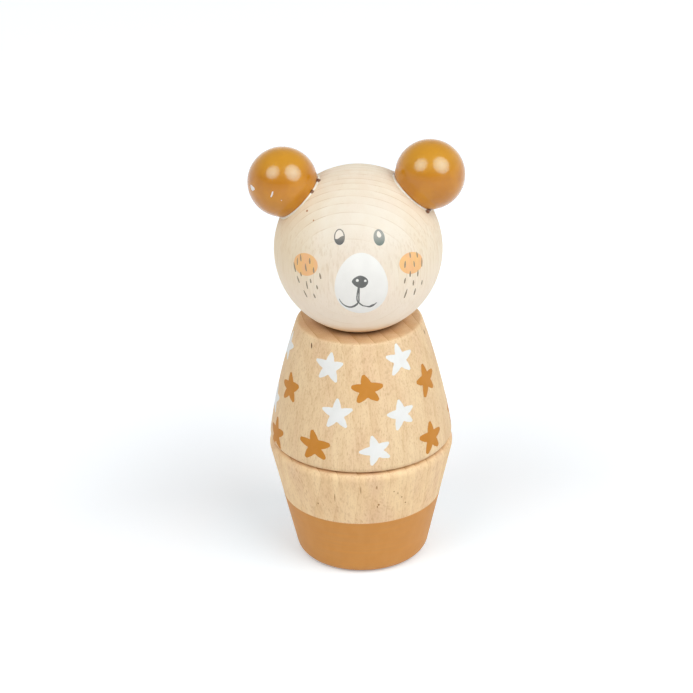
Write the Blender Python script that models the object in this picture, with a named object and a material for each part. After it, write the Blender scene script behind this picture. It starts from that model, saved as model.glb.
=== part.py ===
"""A wooden screw toy: a bear of turned beech pieces that screw into one another.

The base holds a threaded socket. The torso carries a wooden screw below and a socket above,
and the head, with its two ball ears, carries a screw of the same size.
Lengths are in metres, +Z is up, and the origin is the centre of the base's underside.
"""

import math

import bmesh
import bpy
from mathutils import Vector

# Base
BASE_HEIGHT = 0.0385
BASE_FOOT_RADIUS = 0.0197
BASE_TOP_RADIUS = 0.0285
BASE_FOOT_ROUNDING = 0.0037
BASE_RIM_ROUNDING = 0.0020

# Torso, which steps in a little from the base's rim and swells out from a straight cone
TORSO_HEIGHT = 0.0386
TORSO_STEP_IN = 0.0005
TORSO_TOP_RADIUS = 0.0188
TORSO_SWELL = 0.0009
TORSO_BOTTOM_ROUNDING = 0.0018
TORSO_TOP_ROUNDING = 0.0014
TORSO_WEB = 0.0023

# Head, a ball with a flat to stand on
HEAD_RADIUS = 0.0250
HEAD_SEAT_RADIUS = 0.0113

# Ears, balls with a flat against the head, the left one ground down a little more
EAR_RADIUS = 0.0103
EAR_LEFT_SEAT_RADIUS = 0.0079
EAR_RIGHT_SEAT_RADIUS = 0.0074
EAR_LEFT_ANGLE = math.radians(45.5)
EAR_RIGHT_ANGLE = math.radians(42.8)
EAR_DOWEL_RADIUS = 0.0030
EAR_DOWEL_IN_HEAD = 0.0090
EAR_DOWEL_IN_EAR = 0.0080

# Wooden screws and their sockets
THREAD_RADIUS = 0.0090
THREAD_DEPTH = 0.0018
THREAD_PITCH = 0.0050
THREAD_CREST = 0.0011
THREAD_CLEARANCE = 0.0003
SOCKET_DEPTH = 0.0200
SOCKET_FLOOR_GAP = 0.0020
SOCKET_MOUTH_CHAMFER = 0.0008
SPIGOT_STEP = 0.0002
SPIGOT_CHAMFER = 0.0006
HEAD_SPIGOT_LENGTH = 0.0120

# Core dowels, which pin each screw to the piece above it
CORE_RADIUS = 0.0025
CORE_TIP = 0.0040
CORE_RECESS = 0.0006

# Fits
SEAT_GAP = 0.0003
FIT_GAP = 0.0003
DOWEL_CHAMFER = 0.0005

# Facets
BODY_SEGMENTS = 64
HEAD_SEGMENTS = 48
HEAD_RINGS = 22
EAR_SEGMENTS = 28
EAR_RINGS = 13
DOWEL_SEGMENTS = 20
ROUNDING_STEPS = 4
WALL_STEPS = 6
THREAD_STEPS = 28
SHARP_ANGLE = math.radians(35)
MERGE_DISTANCE = 1e-6
CUT_MARGIN = 0.0010

# Colours, as linear red, green and blue
BEECH = (0.70, 0.47, 0.28)
PALE_BEECH = (0.80, 0.69, 0.55)
BIRCH = (0.72, 0.55, 0.36)
OCHRE = (0.50, 0.22, 0.035)
BARE_ROUGHNESS = 0.62
LACQUER_ROUGHNESS = 0.16

# Places that follow from the sizes
THREAD_ROOT_RADIUS = THREAD_RADIUS - THREAD_DEPTH
STUD_LENGTH = SOCKET_DEPTH - SOCKET_FLOOR_GAP
SPIGOT_RADIUS = THREAD_ROOT_RADIUS - SPIGOT_STEP
TORSO_SPIGOT_LENGTH = TORSO_HEIGHT - SOCKET_DEPTH - TORSO_WEB - CORE_TIP - 2 * FIT_GAP
TORSO_BOTTOM_RADIUS = BASE_TOP_RADIUS - TORSO_STEP_IN
TORSO_BOTTOM = BASE_HEIGHT + SEAT_GAP
TORSO_TOP = TORSO_BOTTOM + TORSO_HEIGHT
HEAD_SEAT_DROP = math.sqrt(HEAD_RADIUS**2 - HEAD_SEAT_RADIUS**2)
HEAD_CENTRE = TORSO_TOP + SEAT_GAP + HEAD_SEAT_DROP


def clear_scene():
    for obj in list(bpy.data.objects):
        bpy.data.objects.remove(obj, do_unlink=True)


def rounded_corner(before, corner, after, radius):
    """Points of the arc that rounds a corner of a (radius, height) outline."""
    before, corner, after = Vector(before), Vector(corner), Vector(after)
    to_before = (before - corner).normalized()
    to_after = (after - corner).normalized()
    half = to_before.angle(to_after) / 2
    reach = radius / math.tan(half)
    centre = corner + (to_before + to_after).normalized() * radius / math.sin(half)
    start = corner + to_before * reach - centre
    end = corner + to_after * reach - centre
    turn = start.angle_signed(end)
    first = math.atan2(start.y, start.x)
    steps = range(ROUNDING_STEPS + 1)
    angles = [first - turn * step / ROUNDING_STEPS for step in steps]
    return [(centre.x + radius * math.cos(a), centre.y + radius * math.sin(a)) for a in angles]


def rounded_outline(corners):
    """An outline from (radius, height, rounding) corners, where a rounding of 0 stays sharp."""
    points = []
    for index, (radius, height, rounding) in enumerate(corners):
        if rounding == 0:
            points.append((radius, height))
            continue
        before = corners[index - 1][:2]
        after = corners[index + 1][:2]
        points += rounded_corner(before, (radius, height), after, rounding)
    return points


def curved_wall(bottom, top, swell, height):
    """Sharp outline points between a cone's ends, on a parabola that swells out at half height."""
    points = []
    for step in range(1, WALL_STEPS):
        share = step / WALL_STEPS
        straight = bottom + (top - bottom) * share
        points.append((straight + 4 * swell * share * (1 - share), height * share, 0))
    return points


def ball_arc(radius, flat_drop, rings):
    """Outline of a ball about its own centre, from the rim of its lower flat to its top."""
    first = -math.asin(flat_drop / radius)
    angles = [first + (math.pi / 2 - first) * ring / rings for ring in range(rings)]
    arc = [(radius * math.cos(a), radius * math.sin(a)) for a in angles]
    return arc + [(0, radius)]


def smooth_mesh(bm, name):
    """A mesh object from a bmesh, with sharp edges only where the form turns a corner."""
    bmesh.ops.remove_doubles(bm, verts=bm.verts, dist=MERGE_DISTANCE)
    bmesh.ops.recalc_face_normals(bm, faces=bm.faces)
    mesh = bpy.data.meshes.new(name)
    bm.to_mesh(mesh)
    bm.free()
    mesh.shade_smooth()
    mesh.set_sharp_from_angle(angle=SHARP_ANGLE)
    obj = bpy.data.objects.new(name, mesh)
    bpy.context.scene.collection.objects.link(obj)
    return obj


def turned(name, outline, segments, ring=False):
    """Spins an outline about Z. It runs from axis to axis, or closes on itself for a ring."""
    bm = bmesh.new()
    verts = [bm.verts.new((radius, 0, height)) for radius, height in outline]
    pairs = list(zip(verts, verts[1:]))
    if ring:
        pairs.append((verts[-1], verts[0]))
    edges = [bm.edges.new(pair) for pair in pairs]
    bmesh.ops.spin(
        bm,
        geom=verts + edges,
        cent=(0, 0, 0),
        axis=(0, 0, 1),
        angle=2 * math.pi,
        steps=segments,
        use_merge=True,
    )
    return smooth_mesh(bm, name)


def thread_outline(clearance):
    """One pitch of the thread as (radius, height) corners, grown by the clearance all round."""
    lean = (THREAD_PITCH / 2 - THREAD_CREST) / THREAD_DEPTH
    widening = clearance * (math.hypot(1, lean) - lean)
    crest = THREAD_CREST / 2 + widening
    root = crest + lean * THREAD_DEPTH
    outer = THREAD_RADIUS + clearance
    inner = THREAD_ROOT_RADIUS + clearance
    return [(inner, -root), (outer, -crest), (outer, crest), (inner, root)]


def threaded_rod(name, clearance, bottom, top):
    """A right-hand helical rod with pointed ends, one pitch too long at each end for trimming."""
    outline = thread_outline(clearance)
    corners = len(outline)
    first_turn = math.floor(bottom / THREAD_PITCH) - 1
    turns = math.ceil(top / THREAD_PITCH) + 1 - first_turn
    bm = bmesh.new()
    rows = []
    for step in range(turns * THREAD_STEPS + 1):
        angle = 2 * math.pi * (step % THREAD_STEPS) / THREAD_STEPS
        rise = THREAD_PITCH * (first_turn + step / THREAD_STEPS)
        rows.append(
            [bm.verts.new((r * math.cos(angle), r * math.sin(angle), rise + h)) for r, h in outline]
        )
    for low, high in zip(rows, rows[1:]):
        for corner in range(corners - 1):
            bm.faces.new((low[corner], high[corner], high[corner + 1], low[corner + 1]))
    for step in range(len(rows) - 1 - THREAD_STEPS):
        above = rows[step + THREAD_STEPS]
        above_next = rows[step + THREAD_STEPS + 1]
        bm.faces.new((rows[step][-1], rows[step + 1][-1], above_next[0], above[0]))
    last = len(rows) - 1
    low_ends = [row[0] for row in rows[: THREAD_STEPS + 1]] + rows[0][::-1][:-1]
    high_ends = [row[-1] for row in rows[last - THREAD_STEPS :]] + rows[last][::-1][1:]
    for ends, tip_height in (
        (low_ends, THREAD_PITCH * (first_turn - 1)),
        (high_ends, THREAD_PITCH * (first_turn + turns + 1)),
    ):
        tip = bm.verts.new((0, 0, tip_height))
        for one, other in zip(ends, ends[1:] + ends[:1]):
            bm.faces.new((one, other, tip))
    return smooth_mesh(bm, name)


def helper(obj):
    """Keeps a cutter out of the finished model."""
    obj.hide_render = True
    obj.display_type = "WIRE"
    return obj


def combine(obj, operation, other):
    modifier = obj.modifiers.new(other.name, "BOOLEAN")
    modifier.operation = operation
    modifier.object = other


def place(obj, parent, height, tilt=0.0):
    obj.parent = parent
    obj.location = (0, 0, height)
    obj.rotation_euler = (0, tilt, 0)


def wood(obj, colour, roughness):
    material = bpy.data.materials.new(obj.name)
    material.use_nodes = True
    shader = material.node_tree.nodes["Principled BSDF"]
    shader.inputs["Base Color"].default_value = (*colour, 1)
    shader.inputs["Roughness"].default_value = roughness
    shader.inputs["Metallic"].default_value = 0
    material.diffuse_color = (*colour, 1)
    obj.data.materials.append(material)


def axis_empty(name, height):
    """An empty on the common axis, which carries one storey of the toy."""
    empty = bpy.data.objects.new(name, None)
    empty.location = (0, 0, height)
    bpy.context.scene.collection.objects.link(empty)
    return empty


def dowel(name, radius, low, high):
    """A plain dowel on its local Z axis with chamfered ends."""
    outline = [
        (0, low),
        (radius - DOWEL_CHAMFER, low),
        (radius, low + DOWEL_CHAMFER),
        (radius, high - DOWEL_CHAMFER),
        (radius - DOWEL_CHAMFER, high),
        (0, high),
    ]
    return turned(name, outline, DOWEL_SEGMENTS)


def cut_socket(obj, top):
    """Cuts a threaded socket with a chamfered mouth, its own zero at the piece's top face."""
    depth = SOCKET_DEPTH
    reach = THREAD_RADIUS + THREAD_CLEARANCE + CUT_MARGIN
    thread = helper(threaded_rod(obj.name + "_socket_thread", THREAD_CLEARANCE, -depth, CUT_MARGIN))
    place(thread, obj, top)
    blank_outline = [(0, -depth), (reach, -depth), (reach, CUT_MARGIN), (0, CUT_MARGIN)]
    blank = helper(turned(obj.name + "_socket_blank", blank_outline, DOWEL_SEGMENTS))
    place(blank, obj, top)
    combine(thread, "INTERSECT", blank)
    combine(obj, "DIFFERENCE", thread)
    mouth = THREAD_RADIUS + THREAD_CLEARANCE + SOCKET_MOUTH_CHAMFER
    cone_outline = [(0, -mouth), (mouth + CUT_MARGIN, CUT_MARGIN), (0, CUT_MARGIN)]
    cone = helper(turned(obj.name + "_socket_mouth", cone_outline, BODY_SEGMENTS))
    place(cone, obj, top)
    combine(obj, "DIFFERENCE", cone)


def make_screw(name, parent, spigot_length):
    """A turned screw, its zero at the top face of the socket that it screws into."""
    spigot_top = SEAT_GAP + spigot_length
    reach = THREAD_RADIUS + CUT_MARGIN
    bore = CORE_RADIUS + FIT_GAP
    screw = threaded_rod(name, 0, -STUD_LENGTH, spigot_top)
    outline = [
        (bore, -STUD_LENGTH),
        (THREAD_ROOT_RADIUS, -STUD_LENGTH),
        (reach, reach - THREAD_ROOT_RADIUS - STUD_LENGTH),
        (reach, 0),
        (SPIGOT_RADIUS, 0),
        (SPIGOT_RADIUS, spigot_top - SPIGOT_CHAMFER),
        (SPIGOT_RADIUS - SPIGOT_CHAMFER, spigot_top),
        (bore, spigot_top),
    ]
    blank = helper(turned(name + "_blank", outline, HEAD_SEGMENTS, ring=True))
    place(screw, parent, 0)
    place(blank, screw, 0)
    combine(screw, "INTERSECT", blank)
    wood(screw, BIRCH, BARE_ROUGHNESS)
    core_name = name.replace("screw", "core_dowel")
    core = dowel(core_name, CORE_RADIUS, CORE_RECESS - STUD_LENGTH, spigot_top + CORE_TIP)
    place(core, parent, 0)
    wood(core, BIRCH, BARE_ROUGHNESS)


def stepped_bore(spigot_length, underside):
    """The outline inside a piece that holds a screw: the dowel's bore, then the spigot's."""
    spigot_end = underside + spigot_length + FIT_GAP
    core_end = spigot_end + CORE_TIP
    core = CORE_RADIUS + FIT_GAP
    spigot = SPIGOT_RADIUS + FIT_GAP
    dowel_bore = [(0, core_end), (core, core_end), (core, spigot_end)]
    return dowel_bore + [(spigot, spigot_end), (spigot, underside)]


def make_base():
    corners = [
        (0, 0, 0),
        (BASE_FOOT_RADIUS, 0, BASE_FOOT_ROUNDING),
        (BASE_TOP_RADIUS, BASE_HEIGHT, BASE_RIM_ROUNDING),
        (0, BASE_HEIGHT, 0),
    ]
    base = turned("base", rounded_outline(corners), BODY_SEGMENTS)
    cut_socket(base, BASE_HEIGHT)
    wood(base, BEECH, BARE_ROUGHNESS)


def make_torso(parent):
    wall = curved_wall(TORSO_BOTTOM_RADIUS, TORSO_TOP_RADIUS, TORSO_SWELL, TORSO_HEIGHT)
    bore = [(radius, height, 0) for radius, height in stepped_bore(TORSO_SPIGOT_LENGTH, 0)]
    corners = [
        *bore,
        (TORSO_BOTTOM_RADIUS, 0, TORSO_BOTTOM_ROUNDING),
        *wall,
        (TORSO_TOP_RADIUS, TORSO_HEIGHT, TORSO_TOP_ROUNDING),
        (0, TORSO_HEIGHT, 0),
    ]
    torso = turned("torso", rounded_outline(corners), BODY_SEGMENTS)
    place(torso, parent, SEAT_GAP)
    cut_socket(torso, TORSO_HEIGHT)
    wood(torso, BEECH, BARE_ROUGHNESS)


def make_head(parent):
    arc = ball_arc(HEAD_RADIUS, HEAD_SEAT_DROP, HEAD_RINGS)
    outline = stepped_bore(HEAD_SPIGOT_LENGTH, -HEAD_SEAT_DROP) + arc
    head = turned("head", outline, HEAD_SEGMENTS)
    place(head, parent, SEAT_GAP + HEAD_SEAT_DROP)
    wood(head, PALE_BEECH, BARE_ROUGHNESS)
    return head


def make_ear(side, head, angle, seat_radius):
    """An ear ball, its dowel and the flat and bore that they need in the head."""
    head_flat = math.sqrt(HEAD_RADIUS**2 - seat_radius**2)
    flat_drop = math.sqrt(EAR_RADIUS**2 - seat_radius**2)
    bore = EAR_DOWEL_RADIUS + FIT_GAP
    bore_end = EAR_DOWEL_IN_EAR + FIT_GAP - flat_drop
    arc = ball_arc(EAR_RADIUS, flat_drop, EAR_RINGS)
    outline = [(0, bore_end), (bore, bore_end), (bore, -flat_drop)] + arc
    ear = turned("ear_" + side, outline, EAR_SEGMENTS)
    pin_top = SEAT_GAP + EAR_DOWEL_IN_EAR
    pin = dowel("ear_dowel_" + side, EAR_DOWEL_RADIUS, -EAR_DOWEL_IN_HEAD, pin_top)
    cap = seat_radius + CUT_MARGIN
    cap_height = HEAD_RADIUS - head_flat + CUT_MARGIN
    low = -EAR_DOWEL_IN_HEAD - FIT_GAP
    seat_outline = [(0, low), (bore, low), (bore, 0), (cap, 0), (cap, cap_height), (0, cap_height)]
    seat = helper(turned("ear_seat_" + side, seat_outline, EAR_SEGMENTS))
    ear_distance = head_flat + SEAT_GAP + flat_drop
    for obj, distance in ((ear, ear_distance), (pin, head_flat), (seat, head_flat)):
        place(obj, head, distance * math.cos(angle), angle)
        obj.location.x = distance * math.sin(angle)
    combine(head, "DIFFERENCE", seat)
    wood(ear, OCHRE, LACQUER_ROUGHNESS)
    wood(pin, BIRCH, BARE_ROUGHNESS)


def main():
    clear_scene()
    make_base()
    torso_axis = axis_empty("torso_axis", BASE_HEIGHT)
    make_torso(torso_axis)
    make_screw("torso_screw", torso_axis, TORSO_SPIGOT_LENGTH)
    head_axis = axis_empty("head_axis", TORSO_TOP)
    head = make_head(head_axis)
    make_screw("head_screw", head_axis, HEAD_SPIGOT_LENGTH)
    make_ear("left", head, -EAR_LEFT_ANGLE, EAR_LEFT_SEAT_RADIUS)
    make_ear("right", head, EAR_RIGHT_ANGLE, EAR_RIGHT_SEAT_RADIUS)


main()
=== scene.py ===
import math
import random

import bpy
from mathutils import Matrix, Vector, geometry


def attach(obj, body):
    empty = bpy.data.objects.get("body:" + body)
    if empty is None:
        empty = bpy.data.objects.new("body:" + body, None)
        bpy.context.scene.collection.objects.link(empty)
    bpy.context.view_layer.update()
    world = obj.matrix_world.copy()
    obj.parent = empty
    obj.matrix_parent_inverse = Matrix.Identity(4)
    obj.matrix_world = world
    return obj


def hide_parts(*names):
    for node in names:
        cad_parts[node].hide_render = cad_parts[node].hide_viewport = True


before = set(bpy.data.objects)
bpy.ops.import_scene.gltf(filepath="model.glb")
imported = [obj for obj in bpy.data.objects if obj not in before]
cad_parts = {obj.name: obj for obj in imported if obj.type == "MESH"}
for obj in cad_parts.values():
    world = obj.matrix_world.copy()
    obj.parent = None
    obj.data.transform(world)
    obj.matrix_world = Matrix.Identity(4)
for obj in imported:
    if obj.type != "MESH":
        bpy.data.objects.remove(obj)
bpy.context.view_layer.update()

scene = bpy.context.scene

# Sizes of the turned pieces, in metres and radians
BASE_HEIGHT = 0.0385
BASE_FOOT_RADIUS = 0.0197
BASE_TOP_RADIUS = 0.0285
BASE_FOOT_ROUNDING = 0.0037
BASE_RIM_ROUNDING = 0.002
TORSO_HEIGHT = 0.0386
TORSO_STEP_IN = 0.0005
TORSO_TOP_RADIUS = 0.0188
TORSO_SWELL = 0.0009
TORSO_BOTTOM_ROUNDING = 0.0018
TORSO_TOP_ROUNDING = 0.0014
TORSO_WEB = 0.0023
HEAD_RADIUS = 0.025
HEAD_SEAT_RADIUS = 0.0113
EAR_RADIUS = 0.0103
EAR_SEAT_RADII = {"left": 0.0079, "right": 0.0074}
EAR_ANGLES = {"left": math.radians(-45.5), "right": math.radians(42.8)}
EAR_DOWEL_RADIUS = 0.003
EAR_DOWEL_IN_HEAD = 0.009
EAR_DOWEL_IN_EAR = 0.008
THREAD_RADIUS = 0.009
THREAD_DEPTH = 0.0018
THREAD_PITCH = 0.005
THREAD_CREST = 0.0011
THREAD_CLEARANCE = 0.0003
SOCKET_DEPTH = 0.02
SOCKET_FLOOR_GAP = 0.002
SOCKET_MOUTH_CHAMFER = 0.0008
SPIGOT_STEP = 0.0002
SPIGOT_CHAMFER = 0.0006
HEAD_SPIGOT_LENGTH = 0.012
CORE_RADIUS = 0.0025
CORE_TIP = 0.004
SEAT_GAP = 0.0003
FIT_GAP = 0.0003
CUT_MARGIN = 0.001

# Places that follow from the sizes
THREAD_ROOT_RADIUS = THREAD_RADIUS - THREAD_DEPTH
STUD_LENGTH = SOCKET_DEPTH - SOCKET_FLOOR_GAP
SPIGOT_RADIUS = THREAD_ROOT_RADIUS - SPIGOT_STEP
TORSO_SPIGOT_LENGTH = TORSO_HEIGHT - SOCKET_DEPTH - TORSO_WEB - CORE_TIP - 2 * FIT_GAP
TORSO_BOTTOM = BASE_HEIGHT + SEAT_GAP
TORSO_BOTTOM_RADIUS = BASE_TOP_RADIUS - TORSO_STEP_IN
TORSO_TOP = TORSO_BOTTOM + TORSO_HEIGHT
HEAD_SEAT_DROP = math.sqrt(HEAD_RADIUS**2 - HEAD_SEAT_RADIUS**2)
HEAD_CENTRE = Vector((0, 0, TORSO_TOP + SEAT_GAP + HEAD_SEAT_DROP))
HEAD_EAR_FLATS = {s: math.sqrt(HEAD_RADIUS**2 - r**2) for s, r in EAR_SEAT_RADII.items()}
EAR_FLAT_DROPS = {s: math.sqrt(EAR_RADIUS**2 - r**2) for s, r in EAR_SEAT_RADII.items()}
EAR_DISTANCES = {s: HEAD_EAR_FLATS[s] + SEAT_GAP + EAR_FLAT_DROPS[s] for s in EAR_SEAT_RADII}
EAR_BORE = EAR_DOWEL_RADIUS + FIT_GAP

# Fineness of the meshes, softness of the thread, and the angles of sharp edges
SEGMENTS = 192
SCREW_SEGMENTS = 128
ARC_STEPS = 10
WALL_STEPS = 40
BALL_RINGS = 120
CURVE_STEPS = 8
FEW_STEPS = 4
THREAD_ROW = 0.0002
THREAD_SOFTNESS = 0.6
SMOOTH_ANGLE = math.radians(12)
THREAD_SMOOTH_ANGLE = math.radians(40)
FILM_SMOOTH_ANGLE = math.radians(60)
TINY = 1e-18

# Paint and print, in metres, with a film's share at its rim and the share of its grid left clear
MM = 0.001
PAINT_LINE = 0.02
PAINT_FILM = 0.00005
PRINT_FILM = 0.00004
PRINT_ROOT = 0.00006
PRINT_GRID = 0.5 * MM
FINE_GRID = 0.3 * MM
FINEST_GRID = 0.2 * MM
RIM_SHARE = 0.5
GRID_MARGIN = 0.45


def colour(red, green, blue):
    """A display colour from 0 to 255 as linear light."""
    shares = [c / 255 for c in (red, green, blue)]
    return (*[s / 12.92 if s <= 0.04045 else ((s + 0.055) / 1.055) ** 2.4 for s in shares], 1)


def corner_arc(before, corner, after, radius):
    """Points of the arc that rounds a corner of a (radius, height) outline."""
    before, corner, after = Vector(before), Vector(corner), Vector(after)
    to_before = (before - corner).normalized()
    to_after = (after - corner).normalized()
    half = to_before.angle(to_after) / 2
    reach = radius / math.tan(half)
    centre = corner + (to_before + to_after).normalized() * radius / math.sin(half)
    start = corner + to_before * reach - centre
    end = corner + to_after * reach - centre
    turn = start.angle_signed(end)
    first = math.atan2(start.y, start.x)
    angles = [first - turn * step / ARC_STEPS for step in range(ARC_STEPS + 1)]
    return [(centre.x + radius * math.cos(a), centre.y + radius * math.sin(a)) for a in angles]


def torso_wall(share):
    straight = TORSO_BOTTOM_RADIUS + (TORSO_TOP_RADIUS - TORSO_BOTTOM_RADIUS) * share
    return (straight + 4 * TORSO_SWELL * share * (1 - share), TORSO_BOTTOM + TORSO_HEIGHT * share)


def base_profile():
    """The base's outside from the middle of its foot to the inside of its rim."""
    low, high = (BASE_FOOT_RADIUS, 0), (BASE_TOP_RADIUS, BASE_HEIGHT)
    foot = corner_arc((0, 0), low, high, BASE_FOOT_ROUNDING)
    rim = corner_arc(low, high, (0, BASE_HEIGHT), BASE_RIM_ROUNDING)
    (r0, z0), (r1, z1) = foot[-1], rim[0]
    shares = [step / WALL_STEPS for step in range(1, WALL_STEPS)]
    return foot + [(r0 + (r1 - r0) * s, z0 + (z1 - z0) * s) for s in shares] + rim


def torso_profile():
    """The torso's outside from its underside to its top face."""
    wall = [torso_wall(step / WALL_STEPS) for step in range(1, WALL_STEPS)]
    bottom = corner_arc((0, TORSO_BOTTOM), torso_wall(0), wall[3], TORSO_BOTTOM_ROUNDING)
    top = corner_arc(wall[-3], torso_wall(1), (0, TORSO_TOP), TORSO_TOP_ROUNDING)
    between = [p for p in wall if bottom[-1][1] < p[1] < top[0][1]]
    return bottom + between + top


def ball_arc(radius, flat_drop):
    """Outline of a ball about zero, from the rim of its lower flat to its top."""
    first = -math.asin(flat_drop / radius)
    angles = [first + (math.pi / 2 - first) * ring / BALL_RINGS for ring in range(BALL_RINGS)]
    return [(radius * math.cos(a), radius * math.sin(a)) for a in angles] + [(0, radius)]


def thread(rise, clearance):
    """The thread's radius at each angle, for a height over the zero of its screw."""
    lean = (THREAD_PITCH / 2 - THREAD_CREST) / THREAD_DEPTH
    crest = THREAD_CREST / 2 + clearance * (math.hypot(1, lean) - lean)
    root = crest + lean * THREAD_DEPTH

    def radius(angle):
        turn = (rise / THREAD_PITCH - angle / (2 * math.pi) + 0.5) % 1 - 0.5
        share = (root - abs(turn) * THREAD_PITCH) / (root - crest)
        share = min(max(share, 0), 1)
        soft = share * share * (3 - 2 * share)
        share += (soft - share) * THREAD_SOFTNESS
        return THREAD_ROOT_RADIUS + clearance + THREAD_DEPTH * share

    return radius


def socket(top):
    """Outline of a threaded socket with a chamfered mouth, from its mouth to its floor."""
    mouth = THREAD_RADIUS + THREAD_CLEARANCE + SOCKET_MOUTH_CHAMFER
    rows = [(mouth, top)]
    for row in range(1, round(SOCKET_DEPTH / THREAD_ROW) + 1):
        depth = row * THREAD_ROW
        wave = thread(-depth, THREAD_CLEARANCE)
        rows.append((lambda a, wave=wave, cone=mouth - depth: max(wave(a), cone), top - depth))
    return rows + [(0, top - SOCKET_DEPTH)]


def screw_outline(zero, spigot_length):
    """Closed outline of a screw with its core bore, from the bore's foot round to its top."""
    bore = CORE_RADIUS + FIT_GAP
    foot = zero - STUD_LENGTH
    rows = [(bore, foot), (THREAD_ROOT_RADIUS, foot)]
    for row in range(1, round(STUD_LENGTH / THREAD_ROW) + 1):
        rise = row * THREAD_ROW
        wave = thread(rise - STUD_LENGTH, 0)
        cone = THREAD_ROOT_RADIUS + rise
        rows.append((lambda a, wave=wave, cone=cone: min(wave(a), cone), foot + rise))
    top = zero + SEAT_GAP + spigot_length
    rows += [(SPIGOT_RADIUS, zero), (SPIGOT_RADIUS, top - SPIGOT_CHAMFER)]
    return rows + [(SPIGOT_RADIUS - SPIGOT_CHAMFER, top), (bore, top)]


def stepped_bore(underside, spigot_length):
    """The outline inside a piece that holds a screw: the dowel's bore, then the spigot's."""
    spigot_end = underside + spigot_length + FIT_GAP
    core_end = spigot_end + CORE_TIP
    core = CORE_RADIUS + FIT_GAP
    spigot = SPIGOT_RADIUS + FIT_GAP
    dowel_bore = [(0, core_end), (core, core_end), (core, spigot_end)]
    return dowel_bore + [(spigot, spigot_end), (spigot, underside)]


def add_object(name, data):
    obj = bpy.data.objects.new(name, data)
    scene.collection.objects.link(obj)
    return obj


def mesh_object(name, verts, faces, smooth_angle):
    mesh = bpy.data.meshes.new(name)
    mesh.from_pydata([tuple(v) for v in verts], [], faces)
    mesh.validate()
    mesh.shade_smooth()
    mesh.set_sharp_from_angle(angle=smooth_angle)
    return add_object(name, mesh)


def spun(name, outline, segments=SEGMENTS, smooth_angle=SMOOTH_ANGLE, ring=False):
    """Spins an outline about Z. Its radii and heights may be functions of the angle."""
    verts, rows, faces = [], [], []
    angles = [2 * math.pi * step / segments for step in range(segments)]
    for radius, height in outline:
        if radius == 0:
            rows.append([len(verts)])
            verts.append((0, 0, height))
            continue
        rows.append(range(len(verts), len(verts) + segments))
        for a in angles:
            r = radius(a) if callable(radius) else radius
            z = height(a) if callable(height) else height
            verts.append((r * math.cos(a), r * math.sin(a), z))
    pairs = list(zip(rows, rows[1:]))
    if ring:
        pairs.append((rows[-1], rows[0]))
    for low, high in pairs:
        for i in range(segments):
            j = (i + 1) % segments
            if len(low) == 1:
                faces.append((low[0], high[j], high[i]))
            elif len(high) == 1:
                faces.append((low[i], low[j], high[0]))
            else:
                faces.append((low[i], low[j], high[j], high[i]))
    return mesh_object(name, verts, faces, smooth_angle)


def cut(obj, cutters):
    """Cuts other solids out of one, and leaves a plain mesh."""
    for cutter in cutters:
        modifier = obj.modifiers.new(cutter.name, "BOOLEAN")
        modifier.operation = "DIFFERENCE"
        modifier.object = cutter
    bpy.context.view_layer.update()
    shaped = obj.evaluated_get(bpy.context.evaluated_depsgraph_get())
    mesh = bpy.data.meshes.new_from_object(shaped)
    obj.modifiers.clear()
    obj.data = mesh
    mesh.shade_smooth()
    mesh.set_sharp_from_angle(angle=SMOOTH_ANGLE)
    for cutter in cutters:
        bpy.data.objects.remove(cutter)


def ear_place(side, distance):
    """The place of an ear's own axis, at a distance from the head's centre."""
    angle = EAR_ANGLES[side]
    along = Vector((math.sin(angle), 0, math.cos(angle)))
    return Matrix.Translation(HEAD_CENTRE + along * distance) @ Matrix.Rotation(angle, 4, "Y")


LEFT_EAR_CENTRE = ear_place("left", EAR_DISTANCES["left"]).translation

# Stars, in shares of an arm's side and tip, with the bulge of the side in millimetres
STAR_SIDE = 0.45
STAR_BULGE = 0.09
STAR_SHOULDER = 0.9
STAR_CROWN = 0.15

# The least width of a stroke, in millimetres
STROKE_LEAST = 0.05


def curve_point(a, b, c, d, t):
    """A number or point on the smooth line from b to c, which comes from a and goes on to d."""
    bend = (2 * a - 5 * b + 4 * c - d) * t * t
    return 0.5 * (2 * b + (c - a) * t + bend + (3 * b - a - 3 * c + d) * t * t * t)


def closed_curve(points, steps=6):
    """A smooth closed line through points in millimetres."""
    line = []
    for i in range(len(points)):
        four = [Vector(points[(i + k) % len(points)]) * MM for k in (-1, 0, 1, 2)]
        line += [curve_point(*four, step / steps) for step in range(steps)]
    return line


def open_curve(points):
    """A smooth line through points of any dimension, ends included."""
    ends = [[2 * a - b for a, b in zip(points[0], points[1])], *points]
    ends.append([2 * a - b for a, b in zip(points[-1], points[-2])])
    line = []
    for four in zip(ends, ends[1:], ends[2:], ends[3:]):
        for step in range(CURVE_STEPS):
            line.append([curve_point(*values, step / CURVE_STEPS) for values in zip(*four)])
    return line + [points[-1]]


def run_at(line, i):
    """The direction of a flat line at one of its points."""
    before, after = line[max(i - 1, 0)], line[min(i + 1, len(line) - 1)]
    return Vector((after[0] - before[0], after[1] - before[1])).normalized()


def stroke(points):
    """Outline of a brush stroke from (across, up, width) points in millimetres."""
    line = open_curve(points)
    left, right = [], []
    for i, (x, y, width) in enumerate(line):
        run = run_at(line, i)
        side = Vector((-run.y, run.x)) * max(width, STROKE_LEAST) / 2
        left.append((Vector((x, y)) + side) * MM)
        right.append((Vector((x, y)) - side) * MM)
    return left + right[::-1]


def oval(across, up, half_width, half_height, tilt=0, egg=0, steps=48):
    """An oval in millimetres, narrower above by the egg share and leaning right by the tilt."""
    lean = Matrix.Rotation(-math.radians(tilt), 2)
    line = []
    for step in range(steps):
        a = 2 * math.pi * step / steps
        spot = Vector((half_width * math.cos(a) * (1 - egg * math.sin(a)), half_height * math.sin(a)))
        line.append((lean @ spot + Vector((across, up))) * MM)
    return line


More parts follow.
